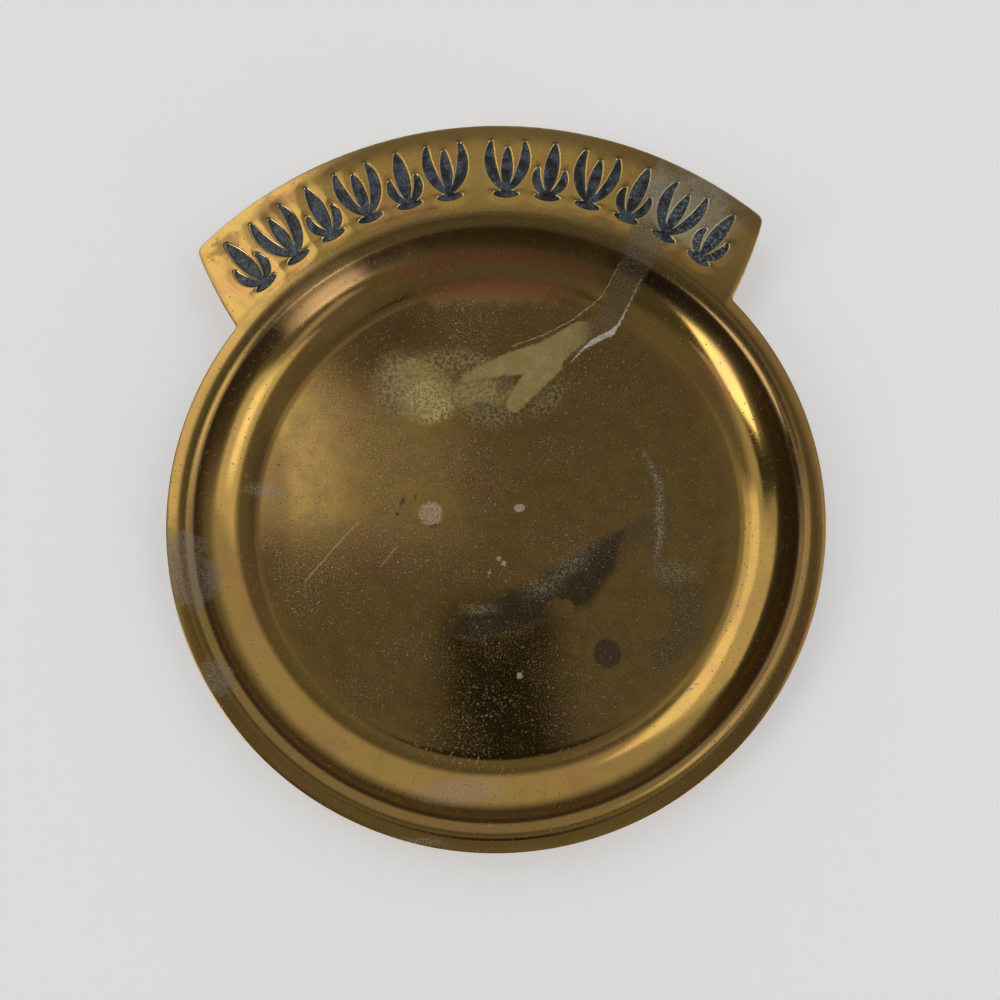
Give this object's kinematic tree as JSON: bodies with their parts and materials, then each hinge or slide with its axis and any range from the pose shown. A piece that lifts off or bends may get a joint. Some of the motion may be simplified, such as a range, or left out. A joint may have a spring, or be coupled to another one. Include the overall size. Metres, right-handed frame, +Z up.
{
  "type": "coin tray",
  "caption": "Shallow round brass coin tray with a flat rim and an arched band at the back that carries a row of sunk, enamelled lotus ornament.",
  "frame": {"origin": "on the dish's axis, at the centre of its flat underside", "axes": "+Z up; +Y from the dish's axis to the middle of the band"},
  "size_m": [0.14, 0.1593, 0.0101],
  "materials": {
    "brass": "spun and lacquered, worn",
    "enamel": "worn dark enamel"
  },
  "bodies": {
    "root": {"brass_tray": "brass", "bud_inlay_1": "enamel", "lotus_inlay_2": "enamel", "bud_inlay_3": "enamel", "lotus_inlay_4": "enamel", "bud_inlay_5": "enamel", "lotus_inlay_6": "enamel", "lotus_inlay_7": "enamel", "bud_inlay_8": "enamel", "lotus_inlay_9": "enamel", "bud_inlay_10": "enamel", "lotus_inlay_11": "enamel", "bud_inlay_12": "enamel"}
  },
  "joints": []
}
